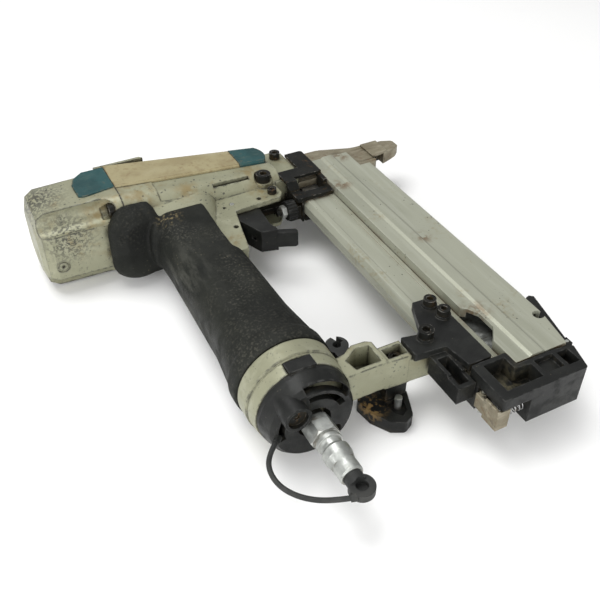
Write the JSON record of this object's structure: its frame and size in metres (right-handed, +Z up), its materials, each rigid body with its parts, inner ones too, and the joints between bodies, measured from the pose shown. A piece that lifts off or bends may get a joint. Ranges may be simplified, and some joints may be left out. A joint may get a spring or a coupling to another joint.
{
  "type": "flooring nailer",
  "caption": "Pneumatic flooring nailer that drives narrow staples: rubber grip, trigger, sprung contact foot, depth dial, side-opening magazine, swivel hook and capped air plug.",
  "frame": {"origin": "centre of the underside of the whole tool, without the dust cap and its strap", "axes": "+X along the drive axis from the head cap to the nose, +Y from the handle towards the body, +Z up while the tool lies on its side, across its width"},
  "size_m": [0.2624, 0.2869, 0.056],
  "materials": {
    "silver_paint": "champagne silver enamel over cast alloy, satin, chipped and stained",
    "label_silver": "blank cream-silver label strip, satin",
    "teal_pad": "moulded bumper rubber",
    "grip_rubber": "matt elastomer, dusty",
    "black_plastic": "glass filled nylon",
    "black_steel": "black oxide or paint, satin",
    "zinc_steel": "zinc plate, dull",
    "tan_steel": "hardened steel with surface rust",
    "magazine_alloy": "extruded, clear anodised",
    "machined_alloy": "hard anodised",
    "spring_steel": "spring wire",
    "nitrile": "nitrile rubber",
    "staple_wire": "galvanised wire"
  },
  "bodies": {
    "tool": {"head_cap": "silver_paint", "rear_pad": "teal_pad", "body_housing": "silver_paint", "label_panel": "label_silver", "front_pad": "teal_pad", "cap_bolts": "black_steel", "cylinder_sleeve": "machined_alloy", "bumper": "nitrile", "head_valve_spring": "spring_steel", "grip_rubber": "grip_rubber", "rear_arm": "silver_paint", "exhaust_cap": "black_plastic", "exhaust_screws": "black_steel", "air_plug": "zinc_steel", "dust_cap": "nitrile", "dust_cap_strap": "nitrile", "wrench_clip": "nitrile", "hook_bolt": "black_steel", "trigger_pin": "zinc_steel", "valve_body": "machined_alloy", "valve_spring": "spring_steel", "nose_bracket": "black_steel", "driver_guide": "tan_steel", "contact_spring": "spring_steel", "nose_screws": "black_steel", "magazine_rail": "magazine_alloy", "staple_core": "zinc_steel", "staple_strip": "staple_wire", "bracket_plate": "black_plastic", "bracket_screws": "black_steel"},
    "driver": {"piston": "machined_alloy", "piston_ring": "nitrile", "driver_blade": "zinc_steel"},
    "head_valve": {"head_valve": "machined_alloy", "head_valve_seal": "nitrile"},
    "trigger": {"trigger": "black_plastic"},
    "valve_stem": {"valve_stem": "zinc_steel"},
    "contact_arm": {"contact_arm": "black_steel", "contact_shoe": "tan_steel", "lock_nut": "zinc_steel"},
    "depth_dial": {"depth_dial": "black_plastic"},
    "magazine_cover": {"magazine_cover": "magazine_alloy", "magazine_end_cap": "black_plastic", "catch_pin": "zinc_steel", "latch_pin": "zinc_steel", "latch_spring": "spring_steel", "pusher_springs": "spring_steel"},
    "pusher": {"pusher": "zinc_steel"},
    "latch": {"latch_lever": "tan_steel"},
    "cover_catch": {"cover_catch": "black_plastic"},
    "hook": {"hook": "black_plastic", "hook_peg": "zinc_steel"}
  },
  "joints": [
    {"name": "driver_slide", "type": "slide", "parent": "tool", "child": "driver", "axis": [1, 0, 0], "range_m": [0, 0.084]},
    {"name": "head_valve_slide", "type": "slide", "parent": "tool", "child": "head_valve", "axis": [-1, 0, 0], "range_m": [0, 0.004], "stiffness_N_per_m": 2000, "springref_m": -0.003, "deforming": ["head_valve_spring"]},
    {"name": "trigger_hinge", "type": "hinge", "parent": "tool", "child": "trigger", "pos_m": [-0.01175, 0.07675, 0.028], "axis": [0, 0, -1], "range_deg": [0, 8], "stiffness_Nm_per_rad": 0.5, "springref_deg": -2.86},
    {"name": "valve_stem_slide", "type": "slide", "parent": "tool", "child": "valve_stem", "axis": [-1, 0, 0], "range_m": [0, 0.003], "deforming": ["valve_spring"]},
    {"name": "contact_arm_slide", "type": "slide", "parent": "tool", "child": "contact_arm", "axis": [-1, 0, 0], "range_m": [0, 0.008], "stiffness_N_per_m": 600, "springref_m": -0.01, "deforming": ["contact_spring"]},
    {"name": "depth_dial_turn", "type": "hinge", "parent": "contact_arm", "child": "depth_dial", "pos_m": [0.02555, 0.06875, 0.028], "axis": [1, 0, 0], "range_deg": [-180, 180]},
    {"name": "magazine_cover_slide", "type": "slide", "parent": "tool", "child": "magazine_cover", "axis": [0, -1, 0], "range_m": [0, 0.15]},
    {"name": "pusher_slide", "type": "slide", "parent": "magazine_cover", "child": "pusher", "axis": [0, -1, 0], "range_m": [0, 0.092], "stiffness_N_per_m": 50, "springref_m": -0.1, "deforming": ["pusher_springs"]},
    {"name": "latch_hinge", "type": "hinge", "parent": "magazine_cover", "child": "latch", "pos_m": [0.03605, -0.12225, 0.0255], "axis": [0, 0, 1], "range_deg": [0, 10], "stiffness_Nm_per_rad": 0.05, "springref_deg": -5.73, "deforming": ["latch_spring"]},
    {"name": "cover_catch_hinge", "type": "hinge", "parent": "magazine_cover", "child": "cover_catch", "pos_m": [0.09325, -0.11625, 0.028], "axis": [0, 0, 1], "range_deg": [0, 4], "stiffness_Nm_per_rad": 0.1, "springref_deg": -5.73},
    {"name": "hook_swivel", "type": "hinge", "parent": "tool", "child": "hook", "pos_m": [0.00925, -0.08325, 0.008], "axis": [0, 0, 1], "range_deg": [-60, 60]}
  ],
  "couplings": [
    {"joint": "valve_stem_slide", "follows": "trigger_hinge", "m_per_rad": 0.020054}
  ]
}
